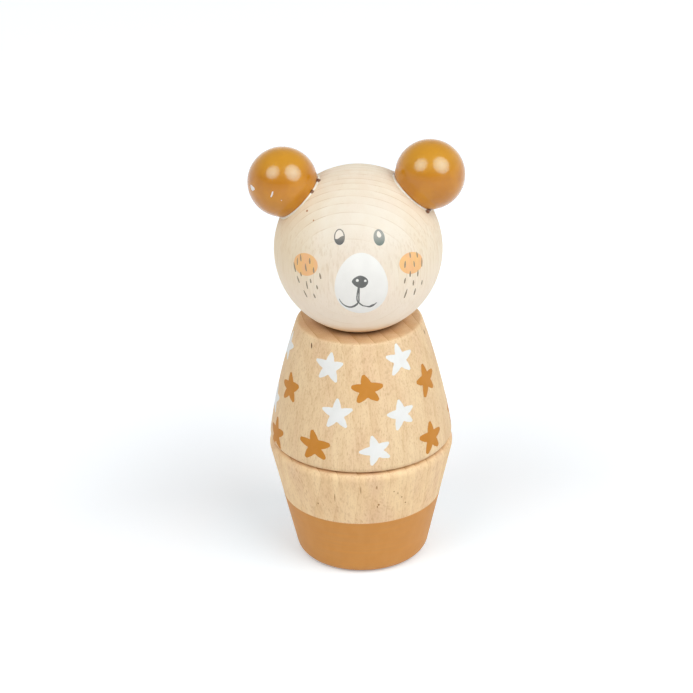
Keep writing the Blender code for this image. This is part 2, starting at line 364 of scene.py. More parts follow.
def star(arms, notch, tip):
    """A hand-cut star from (clockwise degrees, millimetres) arms, its notches and its tips."""
    points = []
    for (before, _), (angle, length), (following, _) in zip(arms[-1:] + arms, arms, arms[1:] + arms[:1]):
        a = math.radians(angle)
        along = Vector((math.sin(a), math.cos(a)))
        across = Vector((math.cos(a), -math.sin(a)))
        first = a - math.radians((angle - before) % 360) / 2
        last = a + math.radians((following - angle) % 360) / 2
        low = Vector((math.sin(first), math.cos(first))) * notch
        high = Vector((math.sin(last), math.cos(last))) * notch
        shoulder = along * (length - STAR_SHOULDER * tip)
        crown = along * (length - STAR_CROWN * tip)
        left, right = shoulder - across * tip, shoulder + across * tip
        points += [
            low.lerp(left, STAR_SIDE) - across * STAR_BULGE,
            left,
            crown - across * 0.5 * tip,
            crown + across * 0.5 * tip,
            right,
            high.lerp(right, STAR_SIDE) + across * STAR_BULGE,
            high,
        ]
    return closed_curve(points, FEW_STEPS)


def towards(azimuth, elevation):
    """The direction at an azimuth from the front and an elevation, in degrees."""
    a, e = math.radians(azimuth), math.radians(elevation)
    return Vector((math.cos(e) * math.sin(a), -math.cos(e) * math.cos(a), math.sin(e)))


def ball_surface(centre, radius, azimuth, latitude):
    """Lays flat distances on a ball about a spot at an azimuth and latitude in degrees."""
    a = math.radians(azimuth)
    out = towards(azimuth, latitude)
    right = Vector((math.cos(a), math.sin(a), 0))
    above = out.cross(right)

    def lay(across, up, proud):
        side = right * across + above * up
        turn = side.length / radius
        side = side.normalized() if side.length else side
        return centre + (out * math.cos(turn) + side * math.sin(turn)) * (radius + proud)

    return lay


def wall_at(profile, level):
    """The radius of a turned wall at a height, and which way it faces there."""
    for (r0, z0), (r1, z1) in zip(profile, profile[1:]):
        if z0 <= level <= z1 and z1 > z0:
            share = (level - z0) / (z1 - z0)
            return r0 + (r1 - r0) * share, Vector((z1 - z0, r0 - r1)).normalized()
    return profile[0][0], Vector((1, 0))


def wall_surface(profile, azimuth, height):
    """Lays flat distances on a turned wall about a spot at an azimuth and height."""
    middle, lean = wall_at(profile, height)

    def lay(across, up, proud):
        level = height + up * lean.x
        radius, out = wall_at(profile, level)
        a = math.radians(azimuth) + across / middle
        reach = radius + proud * out.x
        return Vector((reach * math.sin(a), -reach * math.cos(a), level + proud * out.y))

    return lay


def sides_of(loops):
    for loop in loops:
        yield from zip(loop, loop[1:] + loop[:1])


def inside(point, loops):
    hit = False
    for one, other in sides_of(loops):
        if (one.y > point.y) != (other.y > point.y):
            if point.x < one.x + (other.x - one.x) * (point.y - one.y) / (other.y - one.y):
                hit = not hit
    return hit


def near(point, loops, reach):
    for one, other in sides_of(loops):
        run = other - one
        share = min(max((point - one).dot(run) / max(run.length_squared, TINY), 0), 1)
        if (one + run * share - point).length < reach:
            return True
    return False


def film(name, parts, proud, grid):
    """A thin closed film of paint. Each part is the surface that it lies on, then its loops."""
    verts, faces = [], []
    for lay, *loops in parts:
        loops = [[Vector(p) for p in loop] for loop in loops]
        rim = [p for loop in loops for p in loop]
        edges, start = [], 0
        for loop in loops:
            count = len(loop)
            edges += [(start + i, start + (i + 1) % count) for i in range(count)]
            start += count
        low_x, high_x = min(p.x for p in rim), max(p.x for p in rim)
        low_y, high_y = min(p.y for p in rim), max(p.y for p in rim)
        fill = []
        for row in range(int((high_y - low_y) / grid) + 1):
            for column in range(int((high_x - low_x) / grid) + 1):
                spot = Vector((low_x + (column + 0.5 * (row % 2)) * grid, low_y + row * grid))
                if inside(spot, loops) and not near(spot, loops, grid * GRID_MARGIN):
                    fill.append(spot)
        points, _, triangles, origins, _, _ = geometry.delaunay_2d_cdt(
            [p / MM for p in rim + fill], edges, [], 0, 1e-6
        )
        kept = []
        for tri in triangles:
            middle = sum((points[i] for i in tri), Vector((0, 0))) / 3 * MM
            if inside(middle, loops):
                kept.append(tuple(tri))
        first, count = len(verts), len(points)
        on_rim = [any(o < len(rim) for o in origin) for origin in origins]
        for point, edge in zip(points, on_rim):
            verts.append(lay(point.x * MM, point.y * MM, proud * (RIM_SHARE if edge else 1)))
        for point in points:
            verts.append(lay(point.x * MM, point.y * MM, -PRINT_ROOT))
        for tri in kept:
            faces.append(tuple(first + i for i in tri))
            faces.append(tuple(first + count + i for i in reversed(tri)))
        sides = dict.fromkeys(sides_of(kept))
        for one, other in sides:
            if (other, one) not in sides:
                faces.append((first + other, first + one, first + count + one, first + count + other))
    return mesh_object(name, verts, faces, FILM_SMOOTH_ANGLE)


# Materials


class Graph:
    """Short calls for the nodes of a material or a world."""

    def __init__(self, tree):
        self.tree = tree

    def put(self, socket, value):
        """Links or sets a socket. Three numbers for a colour are a display colour up to 255."""
        if isinstance(value, bpy.types.NodeSocket):
            self.tree.links.new(value, socket)
        elif value is not None:
            shown = socket.type == "RGBA" and len(value) == 3
            socket.default_value = colour(*value) if shown else value

    def node(self, kind, values=(), **settings):
        made = self.tree.nodes.new("ShaderNode" + kind)
        for key, value in settings.items():
            setattr(made, key, value)
        for socket, value in zip(made.inputs, values):
            self.put(socket, value)
        return made

    def math(self, operation, *values, clamp=False):
        return self.node("Math", values, operation=operation, use_clamp=clamp).outputs[0]

    def times(self, one, other):
        return self.math("MULTIPLY", one, other)

    def vector(self, operation, *values):
        made = self.node("VectorMath", values, operation=operation)
        return made.outputs["Value" if operation in ("LENGTH", "DOT_PRODUCT") else "Vector"]

    def parts(self, vector):
        return self.node("SeparateXYZ", [vector]).outputs

    def join(self, *values):
        return self.node("CombineXYZ", values).outputs[0]

    def noise(self, vector, scale=1, detail=2):
        return self.node("TexNoise", (vector, None, scale, detail)).outputs[0]

    def span(self, value, low, high, to_low=0, to_high=1):
        values = (value, low, high, to_low, to_high)
        return self.node("MapRange", values, interpolation_type="SMOOTHSTEP").outputs[0]

    def mix(self, share, one, other, blend="MIX"):
        made = self.node("Mix", data_type="RGBA", blend_type=blend)
        for place, value in ((0, share), (6, one), (7, other)):
            self.put(made.inputs[place], value)
        return made.outputs[2]

    def seen(self):
        """1 for the rays of the camera, of reflections and of transparent pieces, else 0."""
        path = self.node("LightPath").outputs
        seen = self.math("MAXIMUM", path["Is Camera Ray"], path["Is Glossy Ray"])
        return self.math("MAXIMUM", seen, path["Is Transmission Ray"])


class Shade(Graph):
    """A material with its shader, and places in millimetres."""

    def __init__(self, name):
        self.material = bpy.data.materials.new(name)
        self.material.use_nodes = True
        super().__init__(self.material.node_tree)
        self.shader = self.tree.nodes["Principled BSDF"]
        where = self.node("TexCoord").outputs
        self.normal = where["Normal"]
        self.place = self.vector("MULTIPLY", where["Object"], (1 / MM,) * 3)

    def grain(self, run, detail=2):
        """Noise that is drawn out by its scales along the three axes."""
        return self.noise(self.vector("MULTIPLY", self.place, run), detail=detail)

    def finish(self, base, roughness, height=None, bump=0, **sockets):
        sockets = {"Base_Color": base, "Roughness": roughness, **sockets}
        for key, value in sockets.items():
            self.put(self.shader.inputs[key.replace("_", " ")], value)
        if height is not None:
            made = self.node("Bump")
            made.inputs["Distance"].default_value = bump
            self.put(made.inputs["Height"], height)
            self.tree.links.new(made.outputs[0], self.shader.inputs["Normal"])
        return self.material


# Scales of the timber's noises, per millimetre across the trunk twice and along it
DRIFT_RUN = (0.05, 0.05, 0.012)
PATCH_RUN = (0.12, 0.12, 0.04)
BAND_RUN = (0.3, 0.3, 0.01)
THREAD_RUN = (1.7, 1.7, 0.07)
FIBRE_RUN = (3.4, 3.4, 1.1)
WIDTH_SCALE = 0.11
GAP_SCALE = 0.22

# Where each starts to show and shows in full, where a ring's line peaks, and its late wood
RAY_EDGE = (0.34, 0.16)
RAY_PATCHES = (0.3, 0.6)
BAND_EDGE = (0.32, 0.68)
WARM_EDGE = (0.4, 0.7)
THREAD_EDGE = (0.5, 0.68)
PORE_EDGE = (0.5, 0.75)
ASKEW = (0.97, 0.8)
LINE_GAPS = (0.4, 0.58, 0.15, 1)
LINE_PEAK = 0.985
LATE_POWER = 1.8

# Relief of rays and ring lines against the pores
RAY_RELIEF = -0.5
LINE_RELIEF = -0.4


def wood(shade, look):
    """Solid timber: growth rings round a far pith, rays and fibres. Returns colour and height."""
    pith_x, pith_y = look["pith"]
    x, y, z = shade.parts(shade.place)
    drift = shade.math("SUBTRACT", shade.grain(DRIFT_RUN, 1), 0.5)
    drift = shade.times(drift, look["drift"])
    from_x = shade.math("ADD", shade.math("SUBTRACT", x, pith_x), drift)
    from_y = shade.math("SUBTRACT", y, pith_y)
    from_pith = shade.join(from_x, from_y, 0)
    away = shade.vector("LENGTH", from_pith)
    outward = shade.vector("NORMALIZE", from_pith)

    # End grain, and how squarely a side faces the pith
    end = shade.span(shade.math("ABSOLUTE", shade.parts(shade.normal)[2]), *look["end_span"])
    side = shade.math("SUBTRACT", 1, end)
    facing = shade.math("ABSOLUTE", shade.vector("DOT_PRODUCT", shade.normal, outward))

    # Growth rings, which darken outwards and end in a sharp line
    along = shade.join(shade.times(away, WIDTH_SCALE), look["seed"], 0)
    widths = shade.noise(along, detail=1)
    ring = shade.math("DIVIDE", away, look["ring"])
    ring = shade.math("FRACT", shade.math("MULTIPLY_ADD", widths, look["uneven"], ring))
    late = shade.math("POWER", ring, LATE_POWER)
    rise = shade.span(ring, look["line_from"], LINE_PEAK)
    line = shade.math("SUBTRACT", rise, shade.span(ring, LINE_PEAK, 1))

    # Rays: thin upright sheets that run out from the pith
    around = shade.times(shade.math("ARCTAN2", from_y, from_x), math.hypot(*look["pith"]))
    sheet = shade.vector("DIVIDE", shade.join(away, around, z), look["ray"])
    sheet = shade.vector("ADD", sheet, (look["seed"], look["seed"], 0))
    patches = shade.grain(PATCH_RUN)
    cells = shade.node("TexVoronoi", (sheet, None, 1)).outputs["Distance"]
    fleck = shade.span(cells, *RAY_EDGE)
    fleck = shade.times(fleck, shade.span(patches, *RAY_PATCHES))

    # Bands, threads and pores along the grain
    band = shade.grain(BAND_RUN)
    threads = shade.grain(THREAD_RUN)
    fibre = shade.grain(FIBRE_RUN, 3)

    rings = shade.math("MULTIPLY_ADD", end, look["end_ring"], look["ring_tone"])
    dark = shade.times(late, rings)
    dark = shade.math("MULTIPLY_ADD", shade.span(band, *BAND_EDGE), look["band"], dark)
    tone = shade.mix(dark, look["light"], look["dark"])
    tone = shade.mix(shade.span(patches, *WARM_EDGE, 0, look["warmth"]), tone, look["warm"])
    thin = shade.times(shade.span(threads, *THREAD_EDGE, 0, look["thread"]), side)
    tone = shade.mix(thin, tone, look["deep"])
    tone = shade.mix(shade.span(fibre, *PORE_EDGE, 0, look["fibre"]), tone, look["deep"])
    tone = shade.mix(shade.times(end, look["end"]), tone, look["deep"], "MULTIPLY")
    askew = shade.span(facing, *ASKEW, 0, look["line"])
    sharp = shade.times(line, shade.math("MULTIPLY_ADD", end, look["end_line"], askew))
    broken = shade.span(shade.noise(shade.place, GAP_SCALE), *LINE_GAPS)
    sharp = shade.math("MULTIPLY", sharp, broken, clamp=True)
    tone = shade.mix(sharp, tone, look["deep"])
    rays_end = shade.math("MAXIMUM", side, look["end_ray"])
    spindle = shade.times(shade.times(fleck, rays_end), facing)
    tone = shade.mix(shade.times(spindle, look["fleck"]), tone, look["mark"])
    flake = shade.times(fleck, shade.math("SUBTRACT", 1, facing))
    tone = shade.mix(shade.times(flake, look["flake"]), tone, look["mark"])
    tone = spots(shade, tone, look["marks"], look["spot_tone"])
    height = shade.math("MULTIPLY_ADD", fleck, RAY_RELIEF, fibre)
    return tone, shade.math("MULTIPLY_ADD", line, LINE_RELIEF, height)


# Where a spot's edge starts and is full, as shares of its size, and how much it covers
SPOT_EDGE = (1, 0.6)
SPOT_SHARE = 0.95


def spots(shade, tone, marks, spot_tone):
    """Spots of one tone, each at a place in millimetres with its half sizes: marks, and painted shade.
    """
    for spot, half in marks:
        gap = shade.vector("DIVIDE", shade.vector("SUBTRACT", shade.place, spot), half)
        dot = shade.span(shade.vector("LENGTH", gap), *SPOT_EDGE, 0, SPOT_SHARE)
        tone = shade.mix(dot, tone, spot_tone)
    return tone


# Timber: sizes in millimetres, display colours, and shares of what shows
BEECH = dict(
    pith=(96, 27), drift=2.5, seed=3.7, ring=4.4, uneven=1.4, ray=(5, 0.6, 2.6),
    light=(242, 215, 175), dark=(218, 178, 130), warm=(230, 190, 156),
    deep=(186, 136, 84), mark=(170, 122, 74), spot_tone=(112, 70, 40), marks=(),
    ring_tone=0.16, end_ring=0.35, band=0.3, thread=0.15, warmth=0.3, fibre=0.25,
    line=0.14, line_from=0.95, end_line=1, fleck=0.14, flake=0.14,
    end=0.2, end_ray=0, end_span=(0.72, 0.97),
)
BASE_BEECH = dict(
    BEECH,
    light=(251, 220, 174), dark=(222, 174, 121), mark=(188, 128, 76), spot_tone=(176, 122, 72),
    seed=8.2, line=0.3, fleck=0.4, fibre=0.28, thread=0.18, warmth=0.45,
    marks=[
        ((8.04, -27.3, 38.2), (0.4, 0.8, 0.45)),
        ((4.3, -27.1, 34), (0.22, 0.8, 0.8)),
        ((-0.5, -27.5, 33), (0.16, 0.8, 2.2)),
        ((-8.3, -25.2, 29.6), (0.15, 0.8, 2.4)),
        ((4.8, -25.5, 27.2), (0.4, 0.8, 0.5)),
        ((4.4, -25.4, 26.4), (0.25, 0.8, 0.5)),
        ((12.9, -22.3, 26), (0.3, 0.8, 0.35)),
        ((10.6, -24.3, 30.5), (0.18, 0.8, 0.4)),
        ((9.4, -24.9, 31.4), (0.3, 0.8, 0.25)),
        ((11.8, -23.6, 28.6), (0.2, 0.8, 0.5)),
        ((-13.4, -21.9, 26), (0.25, 0.8, 0.45)),
    ],
)
TORSO_BEECH = dict(
    BEECH,
    # The torso's spot tone serves the marks on its wall and the painted shade round the head's seat
    light=(242, 214, 172), dark=(216, 175, 126), spot_tone=(104, 54, 20), fibre=0.4, thread=0.2,
    marks=[
        ((-14.3, -13.5, 74.7), (0.25, 0.8, 1.1)),
        ((19.4, -4.3, 74.2), (0.6, 0.3, 1.2)),
        # Painted shade of the head, round its seat on the torso's top
        ((0, 0, 77.1), (15.3, 15.3, 1.5)),
    ],
)
BIRCH = dict(BEECH, seed=1.3, light=(240, 216, 176), dark=(222, 188, 142))
HEAD_BEECH = dict(
    BEECH,
    pith=(8, 90), seed=5.1, ring=2.3, uneven=0.5, ray=(4, 0.8, 2),
    light=(246, 234, 214), dark=(236, 216, 186), warm=(244, 222, 202),
    deep=(208, 180, 138), mark=(204, 178, 138),
    ring_tone=0.2, end_ring=0.1, thread=0.32, fibre=0.08,
    line=0.1, line_from=0.9, end_line=0.7, fleck=0.12, flake=0.1,
    end=0, end_ray=0.4, end_span=(0.35, 0.6),
)


def seat_shade(side, degrees, half):
    """A spot of painted shade where a seat isn't quite closed, at an angle round it."""
    angle = math.radians(degrees)
    rim = Vector((math.cos(angle), math.sin(angle), 0)) * EAR_SEAT_RADII[side]
    return tuple((ear_place(side, HEAD_EAR_FLATS[side]) @ rim) / MM), half


# Painted shade in the gaps at the ears' seats, laid on the head, the ears and the glue
SEAT_SHADES = [
    seat_shade("left", 347, (1.2, 1.2, 1.4)),
    seat_shade("left", 312, (0.9, 0.9, 0.9)),
    seat_shade("right", 320, (3, 2.2, 1)),
    seat_shade("right", 172, (0.6, 0.7, 0.7)),
]
SEAT_SHADE_TONE = (122, 66, 16)
HEAD_SPECKS = [((-14.7, -11.3, 116.8), (0.45, 0.5, 0.4)), ((-12.8, -15, 115.3), (0.3, 0.4, 0.3))]
SPECK_BROWN = (190, 132, 84)

# Tints over the head's wash: yellower at its sides, greyer on its brow, lighter low down and warmer
# round the seat. Each starts and is full at a number of millimetres, along X, from the brow or along Z,
# and has a share and a tone
BROW = (2, -21, 113)
SIDE_TINTS = [(-9, -22, 0.45, (234, 208, 164)), (9, 22, 0.15, (234, 208, 164))]
BROW_TINTS = [(18, 6, 0.5, (232, 220, 206))]
HEIGHT_TINTS = [(106, 88, 0.6, (254, 238, 220)), (83.5, 78.5, 0.55, (252, 212, 156))]

# Roughness, relief and shine
WOOD_ROUGHNESS = 0.55
WASH_ROUGHNESS = 0.5
WOOD_SHEEN = 0.12
WOOD_BUMP = 0.04 * MM
WOOD_SHINE = 0.25
COAT = dict(Coat_Weight=1, Coat_Roughness=0.14, Coat_IOR=1.5, Specular_IOR_Level=0.1)
LACQUER_ROUGHNESS = 0.4
LACQUER_BUMP = 0.06 * MM
PAINT_BUMP = 0.02 * MM
PAINT_SHINE = 0.3
EYE_ROUGHNESS = 0.6
GLUE_ROUGHNESS = 0.5

# Painted light from above on the ears' tops: the lacquer turns lighter between two heights in
# millimetres over the left ear's middle, by a share
TOP_LIGHT_FROM = 3
TOP_LIGHT_TO = 9
TOP_LIGHT_SHARE = 0.7

# Noises of lacquer, paint, eyes and glue, the tone of the paint's grain, and the eyes' rag
LACQUER_CLOUD = (0.35, 0.65)
LACQUER_SCALE = 0.16
PEEL_SCALE = 0.9
CLOUD = (0.3, 0.7)
CLOUD_RUN = (0.35, 0.35, 0.22)
GRAIN_RUN = (3, 3, 0.14)
GRAIN_TONE = (0.25, 0.2, 0.15, 1)
EYE_SCALE = 2.2
EYE_RAG = 0.8
GLUE_SCALE = 1.2


def wood_finish(shade, tone, height, roughness):
    sheen = shade.math("MULTIPLY_ADD", height, WOOD_SHEEN, roughness)
    return shade.finish(tone, sheen, height, WOOD_BUMP, Specular_IOR_Level=WOOD_SHINE)


def wood_material(name, look):
    shade = Shade(name)
    return wood_finish(shade, *wood(shade, look), WOOD_ROUGHNESS)


def washed_material(name):
    """Beech under a thin white wash, yellower at the sides and warmer round the seat, with painted shade
    at the ears' seats.
    """
    shade = Shade(name)
    tone, height = wood(shade, HEAD_BEECH)
    x, _, z = shade.parts(shade.place)
    brow = shade.vector("LENGTH", shade.vector("SUBTRACT", shade.place, BROW))
    for along, tints in ((x, SIDE_TINTS), (brow, BROW_TINTS), (z, HEIGHT_TINTS)):
        for start, full, share, tint in tints:
            tone = shade.mix(shade.span(along, start, full, 0, share), tone, tint)
    tone = spots(shade, tone, HEAD_SPECKS, SPECK_BROWN)
    tone = spots(shade, tone, SEAT_SHADES, SEAT_SHADE_TONE)
    return wood_finish(shade, tone, height, WASH_ROUGHNESS)


def lacquer_material(name):
    """Glossy ochre lacquer, with a faint orange peel, painted light on the ears' tops and painted shade
    at their seats.
    """
    shade = Shade(name)
    cloud = shade.span(shade.noise(shade.place, LACQUER_SCALE), *LACQUER_CLOUD)
    tone = shade.mix(cloud, (193, 122, 6), (203, 133, 10))
    middle = LEFT_EAR_CENTRE.z / MM
    height = shade.parts(shade.place)[2]
    # Painted light: lighter towards the ears' tops
    thin = shade.span(height, middle + TOP_LIGHT_FROM, middle + TOP_LIGHT_TO, 0, TOP_LIGHT_SHARE)
    tone = shade.mix(thin, tone, (216, 154, 34))
    tone = spots(shade, tone, SEAT_SHADES, SEAT_SHADE_TONE)
    peel = shade.noise(shade.place, PEEL_SCALE)
    return shade.finish(tone, LACQUER_ROUGHNESS, peel, LACQUER_BUMP, **COAT)


def paint_material(name, one, other, roughness, grain=0.05, look=None, cover=1, run=GRAIN_RUN):
    """Matte paint over wood, which shows a little through a thin print."""
    shade = Shade(name)
    tone = shade.mix(shade.span(shade.grain(CLOUD_RUN, 3), *CLOUD), one, other)
    fibre = shade.grain(run, 3)
    tone = shade.mix(shade.times(fibre, grain), tone, GRAIN_TONE)
    if look:
        under, _ = wood(shade, look)
        tone = shade.mix(cover, under, tone)
    return shade.finish(tone, roughness, fibre, PAINT_BUMP, Specular_IOR_Level=PAINT_SHINE)


def eye_material(name, top, bottom, low, high):
    """Grey print that darkens downwards between two heights in millimetres."""
    shade = Shade(name)
    ragged = shade.math("SUBTRACT", shade.noise(shade.place, EYE_SCALE, 3), 0.5)
    height = shade.math("MULTIPLY_ADD", ragged, EYE_RAG, shade.parts(shade.place)[2])
    return shade.finish(shade.mix(shade.span(height, low, high), bottom, top), EYE_ROUGHNESS)


def glue_material(name):
    """Pale glue, with painted shade where a seat isn't quite closed."""
    shade = Shade(name)
    tone = shade.mix(shade.noise(shade.place, GLUE_SCALE), (236, 228, 212), (246, 240, 230))
    return shade.finish(spots(shade, tone, SEAT_SHADES, SEAT_SHADE_TONE), GLUE_ROUGHNESS)


beech_base = wood_material("beech_base", BASE_BEECH)
beech_torso = wood_material("beech_torso", TORSO_BEECH)
washed = washed_material("washed_beech")
birch = wood_material("screw_birch", BIRCH)
lacquer = lacquer_material("ochre_lacquer")
BAND_PAINT_RUN = (0.06, 0.06, 1.4)
ochre_band = paint_material("ochre_band", (214, 144, 62), (217, 148, 67), 0.5, 0.2, run=BAND_PAINT_RUN)
ochre_star = paint_material("ochre_star", (199, 128, 32), (204, 134, 43), 0.55)
white_star = paint_material("white_star", (236, 236, 233), (241, 241, 239), 0.6)
muzzle_white = paint_material("muzzle_white", (242, 240, 235), (246, 244, 239), 0.6, 0.03)
grey_print = paint_material("grey_print", (102, 102, 100), (114, 115, 112), 0.6)
cheek_tones = (248, 191, 110), (247, 183, 123)
cheek_print = paint_material("cheek_print", *cheek_tones, 0.6, look=HEAD_BEECH, cover=0.85)
eye_tones = (238, 228, 218), (242, 234, 226)
eye_wash = paint_material("eye_wash", *eye_tones, 0.6, look=HEAD_BEECH, cover=0.6)
glue = glue_material("glue")


def dress(piece, material, body, replaced=None):
    """Gives a piece its material and body, and the node that it replaces."""
    piece.data.materials.append(material)
    if replaced:
        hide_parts(replaced)
    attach(piece, body)


# Base
base_outline = base_profile()
base_rows = [(0, 0)] + base_outline + socket(BASE_HEIGHT)
base = spun("base_wood", base_rows, smooth_angle=THREAD_SMOOTH_ANGLE)
dress(base, beech_base, "base", "base")

# Points of the outline over which the paint thickens from the foot, and thins to a share at its rim
FOOT_FADE = 4
RIM_FADE = 1.5
RIM_LEAST = 0.3


def band_outline():
    """Closed outline of the film of paint on the lower part of the base."""
    inner = [p for p in base_outline if p[1] < PAINT_LINE]
    inner.append((wall_at(base_outline, PAINT_LINE)[0], PAINT_LINE))
    outer = []
    for i, (radius, height) in enumerate(inner):
        run = run_at(inner, i)
        thick = PAINT_FILM * min(1, i / FOOT_FADE, (len(inner) - 1 - i) / RIM_FADE + RIM_LEAST)
        outer.append((radius + run.y * thick, max(height - run.x * thick, 0)))
    buried = [(radius - PRINT_ROOT, height) for radius, height in inner]
    return outer + buried[:0:-1]


dress(spun("base_paint", band_outline(), ring=True), ochre_band, "base")

# Torso
torso_outline = torso_profile()
torso_rows = stepped_bore(TORSO_BOTTOM, TORSO_SPIGOT_LENGTH) + torso_outline + socket(TORSO_TOP)
torso = spun("torso_wood", torso_rows, smooth_angle=THREAD_SMOOTH_ANGLE)
dress(torso, beech_torso, "torso", "torso")

# Screws
for name, zero, length in (
    ("torso_screw", BASE_HEIGHT, TORSO_SPIGOT_LENGTH),
    ("head_screw", TORSO_TOP, HEAD_SPIGOT_LENGTH),
):
    rows = screw_outline(zero, length)
    screw = spun(name + "_wood", rows, SCREW_SEGMENTS, THREAD_SMOOTH_ANGLE, True)
    dress(screw, birch, name.replace("_screw", ""), name)

# Dowels, which keep their own shapes
for name in ("torso_core_dowel", "head_core_dowel", "ear_dowel_left", "ear_dowel_right"):
    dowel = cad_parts[name]
    dowel.data.materials.clear()
    dowel.data.materials.append(birch)

# Head
head_low = stepped_bore(-HEAD_SEAT_DROP, HEAD_SPIGOT_LENGTH)
head = spun("head_wood", head_low + ball_arc(HEAD_RADIUS, HEAD_SEAT_DROP))
head.data.transform(Matrix.Translation(HEAD_CENTRE))
seats = []
for side in EAR_ANGLES:
    cap = EAR_SEAT_RADII[side] + CUT_MARGIN
    lift = HEAD_RADIUS - HEAD_EAR_FLATS[side] + CUT_MARGIN
    end = -EAR_DOWEL_IN_HEAD - FIT_GAP
    rows = [(0, end), (EAR_BORE, end), (EAR_BORE, 0), (cap, 0), (cap, lift), (0, lift)]
    seat = spun("seat_" + side, rows)
    seat.data.transform(ear_place(side, HEAD_EAR_FLATS[side]))
    seats.append(seat)
cut(head, seats)
dress(head, washed, "head", "head")

# Ears, each with a bead of glue round its seat, its waves within limits
GLUE_BEAD = 0.00034
GLUE_OUT = 0.3
GLUE_STEPS = 144
GLUE_SIDES = 10
GLUE_WAVES = (2, 3, 5, 9)
GLUE_SWELLS = (0.2, 0.5)
GLUE_LEAST = 0.35
GLUE_MOST = 1.3
GLUE_SEED = 4


def glue_bead(side):
    """An uneven bead round an ear's seat, thin where the glue missed."""
    chance = random.Random(GLUE_SEED)
    waves = [(k, chance.uniform(0, 2 * math.pi), chance.uniform(*GLUE_SWELLS) / k) for k in GLUE_WAVES]
    ring = EAR_SEAT_RADII[side] + GLUE_OUT * GLUE_BEAD

    def thick(angle):
        swell = 1 + sum(size * math.sin(k * angle + start) for k, start, size in waves)
        return GLUE_BEAD * min(max(swell, GLUE_LEAST), GLUE_MOST)

    rows = []
    for part in range(GLUE_SIDES):
        turn = 2 * math.pi * part / GLUE_SIDES
        out, up = math.cos(turn), math.sin(turn)
        rows.append((lambda a, out=out: ring + thick(a) * out, lambda a, up=up: thick(a) * up))
    bead = spun("glue_" + side, rows, GLUE_STEPS, FILM_SMOOTH_ANGLE, True)
    bead.data.transform(ear_place(side, HEAD_EAR_FLATS[side]))
    return bead


for side in EAR_ANGLES:
    drop = EAR_FLAT_DROPS[side]
    bore_end = EAR_DOWEL_IN_EAR + FIT_GAP - drop
    ear_low = [(0, bore_end), (EAR_BORE, bore_end), (EAR_BORE, -drop)]
    ear = spun("ear_ball_" + side, ear_low + ball_arc(EAR_RADIUS, drop))
    ear.data.transform(ear_place(side, EAR_DISTANCES[side]))
    dress(ear, lacquer, "head", "ear_" + side)
    dress(glue_bead(side), glue, "head")


def painted(name, parts, material, layers=1, grid=PRINT_GRID, body="head"):
    """A film of paint, as many layers proud of its surface as it says."""
    dress(film(name, parts, layers * PRINT_FILM, grid), material, body)


# Stars on the torso: azimuth, height, then five arms as (clockwise degrees, millimetres)
WHITE_STARS = [
    (-25.6, 70.2, [(3, 4.5), (69, 4.5), (150, 4.9), (219, 4.7), (286, 5)]),
    (34.4, 71.4, [(-6, 5), (74, 4.9), (144, 4.9), (217, 5.2), (291, 4.9)]),
    (-17.1, 56.9, [(0, 4.8), (69, 5.1), (142, 4.9), (213, 5), (284, 4.9)]),
    (28.5, 55.7, [(-5, 4.6), (72, 4.6), (132, 4.6), (203, 5), (278, 4.7)]),
    (9, 46.1, [(-14, 4.8), (63, 4.6), (122, 4.8), (198, 4.8), (267, 5.1)]),
    (-85, 69.6, [(3, 4.8), (72, 5), (146, 4.6), (216, 4.8), (288, 4.8)]),
    (-86, 52, [(-6, 4.8), (68, 4.8), (140, 4.8), (212, 4.8), (282, 4.8)]),
]
OCHRE_STARS = [
    (4.6, 64.4, [(-13, 4.6), (80, 5), (138, 4.8), (216, 4.8), (280, 4.8)]),
    (57.4, 62.4, [(-3, 5.1), (76, 5), (143, 4.6), (206, 5.4), (279, 4.7)]),
    (-61.6, 59.9, [(-19, 4.7), (65, 4.6), (140, 4.6), (212, 5), (271, 5)]),
    (-31.6, 46.1, [(-15, 5), (75, 5.3), (132, 5.1), (214, 5.1), (281, 5.6)]),
    (51.1, 45.3, [(3, 5), (80, 5.1), (146, 4.7), (214, 5.3), (286, 5.3)]),
    (-70.5, 43.5, [(-8, 5.2), (66, 5.2), (130, 5.3), (205, 5), (279, 5.2)]),
    (93, 46.4, [(-4, 4.8), (70, 5), (140, 4.8), (210, 5), (284, 4.8)]),
]
# The same print goes on round the back
WHITE_BACK = [
    (104, 70.2), (158, 69.8), (214, 70.4), (110, 56.8), (153, 57), (203, 56.4), (232, 56),
    (138, 45.8), (217, 46),
]
OCHRE_BACK = [(131, 64.4), (186, 65), (246, 65), (178, 46), (254, 45.4)]


def star_parts(front, back, notch, tip):
    """Stars at their places. Those at the back take the arms of those in front in turn."""
    again = [(*place, front[i % len(front)][2]) for i, place in enumerate(back)]
    parts = []
    for azimuth, height, arms in front + again:
        parts.append((wall_surface(torso_outline, azimuth, height * MM), star(arms, notch, tip)))
    return parts


white_stars = star_parts(WHITE_STARS, WHITE_BACK, 2.35, 0.5)
ochre_stars = star_parts(OCHRE_STARS, OCHRE_BACK, 2.5, 0.75)
painted("stars_white", white_stars, white_star, body="torso")
painted("stars_ochre", ochre_stars, ochre_star, body="torso")


# Face
def on_head(azimuth, latitude):
    return ball_surface(HEAD_CENTRE, HEAD_RADIUS, azimuth, latitude)


